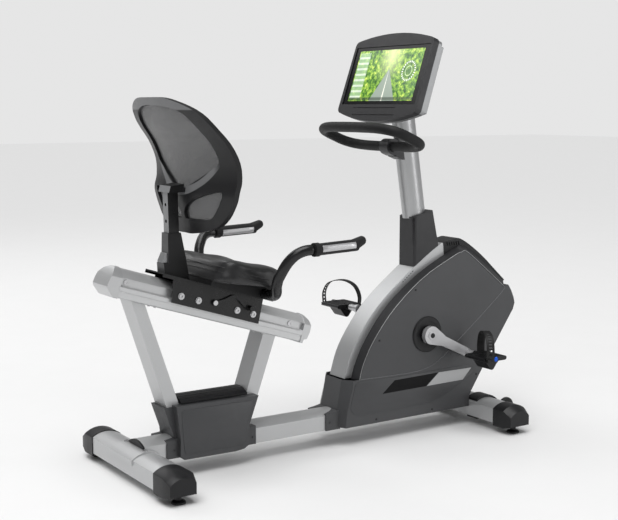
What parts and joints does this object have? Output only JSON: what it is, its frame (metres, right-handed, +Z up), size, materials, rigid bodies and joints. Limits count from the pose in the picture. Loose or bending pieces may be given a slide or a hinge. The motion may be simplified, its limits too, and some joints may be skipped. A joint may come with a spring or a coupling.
{
  "type": "recumbent exercise bike",
  "caption": "Recumbent exercise bike: mesh-back seat sliding on a sloping rail, moulded drive housing with cranks, mast with loop handlebar and tilted screen.",
  "frame": {"origin": "on the floor, under the middle of the bike", "axes": "+X from the seat towards the console, +Y to the rider's left, +Z up"},
  "size_m": [1.5104, 0.6198, 1.3106],
  "materials": {
    "silver_paint": "satin silver paint",
    "rail_alloy": "brushed bright extrusion",
    "cap_alloy": "satin cast",
    "spine_silver": "bright silver paint",
    "graphite_plastic": "fine-grained graphite moulding",
    "dark_plastic": "satin dark grey moulding",
    "black_plastic": "satin black moulding",
    "foam_black": "matt black foam",
    "console_silver": "satin silver moulding",
    "screen_glass": "glossy dark glass",
    "polished_steel": "polished",
    "bolt_steel": "machined",
    "iron": "machined rim",
    "black_steel": "satin black powder coat",
    "belt_rubber": "matt",
    "seat_leather": "soft black upholstery",
    "mesh_fabric": "woven dark grey mesh"
  },
  "bodies": {
    "frame": {"base_beam": "silver_paint", "rear_bar": "silver_paint", "front_bar": "silver_paint", "bar_end_caps": "black_plastic", "tower_cover_right": "graphite_plastic", "tower_cover_left": "graphite_plastic", "step_cover": "black_plastic", "rear_post": "silver_paint", "front_post": "silver_paint", "seat_rail": "rail_alloy", "rail_end_caps": "cap_alloy", "frame_screws": "bolt_steel", "spine": "spine_silver", "shroud_right": "graphite_plastic", "shroud_left": "graphite_plastic", "trim_bands": "dark_plastic", "lower_cover_right": "graphite_plastic", "lower_cover_left": "graphite_plastic", "top_cap": "black_plastic", "bar_sleeves": "black_plastic", "drive_frame": "black_steel", "crank_bearings": "bolt_steel", "drive_belt": "belt_rubber", "crank_seals": "black_plastic", "mast": "spine_silver", "mast_sleeve": "dark_plastic", "handlebar_loop": "foam_black", "handlebar_clamp": "dark_plastic", "console_front": "dark_plastic", "console_back": "console_silver", "display": "screen_glass"},
    "crank": {"crank_axle": "bolt_steel", "drive_pulley": "black_plastic", "crank_right": "polished_steel", "crank_left": "polished_steel"},
    "pedal_right": {"pedal_right": "black_plastic", "strap_right": "belt_rubber"},
    "pedal_left": {"pedal_left": "black_plastic", "strap_left": "belt_rubber"},
    "flywheel": {"flywheel": "iron"},
    "seat": {"carriage": "black_steel", "roller_bolts": "bolt_steel", "seat_pan": "black_plastic", "cushion": "seat_leather", "post_cover": "black_plastic", "grip_tube": "black_steel", "hand_grips": "foam_black"},
    "backrest": {"back_post": "black_steel", "back_frame": "black_plastic", "back_mesh": "mesh_fabric"},
    "height_pin": {"height_pin": "console_silver"},
    "seat_lever": {"seat_lever": "black_steel"},
    "front_rollers": {"front_rollers": "bolt_steel"},
    "rear_rollers": {"rear_rollers": "bolt_steel"},
    "foot_rear_right": {"foot_rear_right": "black_plastic"},
    "foot_rear_left": {"foot_rear_left": "black_plastic"},
    "foot_front_right": {"foot_front_right": "black_plastic"},
    "foot_front_left": {"foot_front_left": "black_plastic"},
    "wheel_right": {"wheel_right": "belt_rubber"},
    "wheel_left": {"wheel_left": "belt_rubber"}
  },
  "joints": [
    {"name": "crank_spin", "type": "hinge", "parent": "frame", "child": "crank", "pos_m": [0.366, 0, 0.33], "axis": [0, 1, 0], "continuous": true},
    {"name": "pedal_right_spin", "type": "hinge", "parent": "crank", "child": "pedal_right", "pos_m": [0.52189, -0.193, 0.25498], "axis": [0, 1, 0], "continuous": true},
    {"name": "pedal_left_spin", "type": "hinge", "parent": "crank", "child": "pedal_left", "pos_m": [0.21011, 0.193, 0.40502], "axis": [0, 1, 0], "continuous": true},
    {"name": "flywheel_spin", "type": "hinge", "parent": "frame", "child": "flywheel", "pos_m": [0.6, 0, 0.39], "axis": [0, 1, 0], "continuous": true},
    {"name": "seat_slide", "type": "slide", "parent": "frame", "child": "seat", "axis": [0.9534, 0, -0.3017], "range_m": [-0.1, 0.13]},
    {"name": "back_height", "type": "slide", "parent": "seat", "child": "backrest", "axis": [-0.0209, 0, 0.9998], "range_m": [-0.035, 0.035]},
    {"name": "pin_pull", "type": "slide", "parent": "seat", "child": "height_pin", "axis": [-1, 0, 0], "range_m": [0, 0.008], "stiffness_N_per_m": 400, "springref_m": -0.004},
    {"name": "lever_press", "type": "hinge", "parent": "seat", "child": "seat_lever", "pos_m": [-0.42249, -0.064, 0.50607], "axis": [0, 1, 0], "range_deg": [0, 8], "stiffness_Nm_per_rad": 1.5, "springref_deg": -11.46},
    {"name": "front_roller_spin", "type": "hinge", "parent": "seat", "child": "front_rollers", "pos_m": [-0.29137, 0, 0.45871], "axis": [0, 1, 0], "range_deg": [-600, 760]},
    {"name": "rear_roller_spin", "type": "hinge", "parent": "seat", "child": "rear_rollers", "pos_m": [-0.53115, 0, 0.53458], "axis": [0, 1, 0], "range_deg": [-600, 760]},
    {"name": "foot_rear_right_level", "type": "slide", "parent": "frame", "child": "foot_rear_right", "axis": [0, 0, -1], "range_m": [0, 0.012]},
    {"name": "foot_rear_left_level", "type": "slide", "parent": "frame", "child": "foot_rear_left", "axis": [0, 0, -1], "range_m": [0, 0.012]},
    {"name": "foot_front_right_level", "type": "slide", "parent": "frame", "child": "foot_front_right", "axis": [0, 0, -1], "range_m": [0, 0.012]},
    {"name": "foot_front_left_level", "type": "slide", "parent": "frame", "child": "foot_front_left", "axis": [0, 0, -1], "range_m": [0, 0.012]},
    {"name": "wheel_right_spin", "type": "hinge", "parent": "frame", "child": "wheel_right", "pos_m": [0.676, -0.13, 0.056], "axis": [0, 1, 0], "continuous": true},
    {"name": "wheel_left_spin", "type": "hinge", "parent": "frame", "child": "wheel_left", "pos_m": [0.676, 0.13, 0.056], "axis": [0, 1, 0], "continuous": true}
  ],
  "couplings": [
    {"joint": "flywheel_spin", "follows": "crank_spin", "ratio": 4.75},
    {"joint": "front_roller_spin", "follows": "seat_slide", "rad_per_m": 96.154},
    {"joint": "rear_roller_spin", "follows": "seat_slide", "rad_per_m": 96.154}
  ]
}
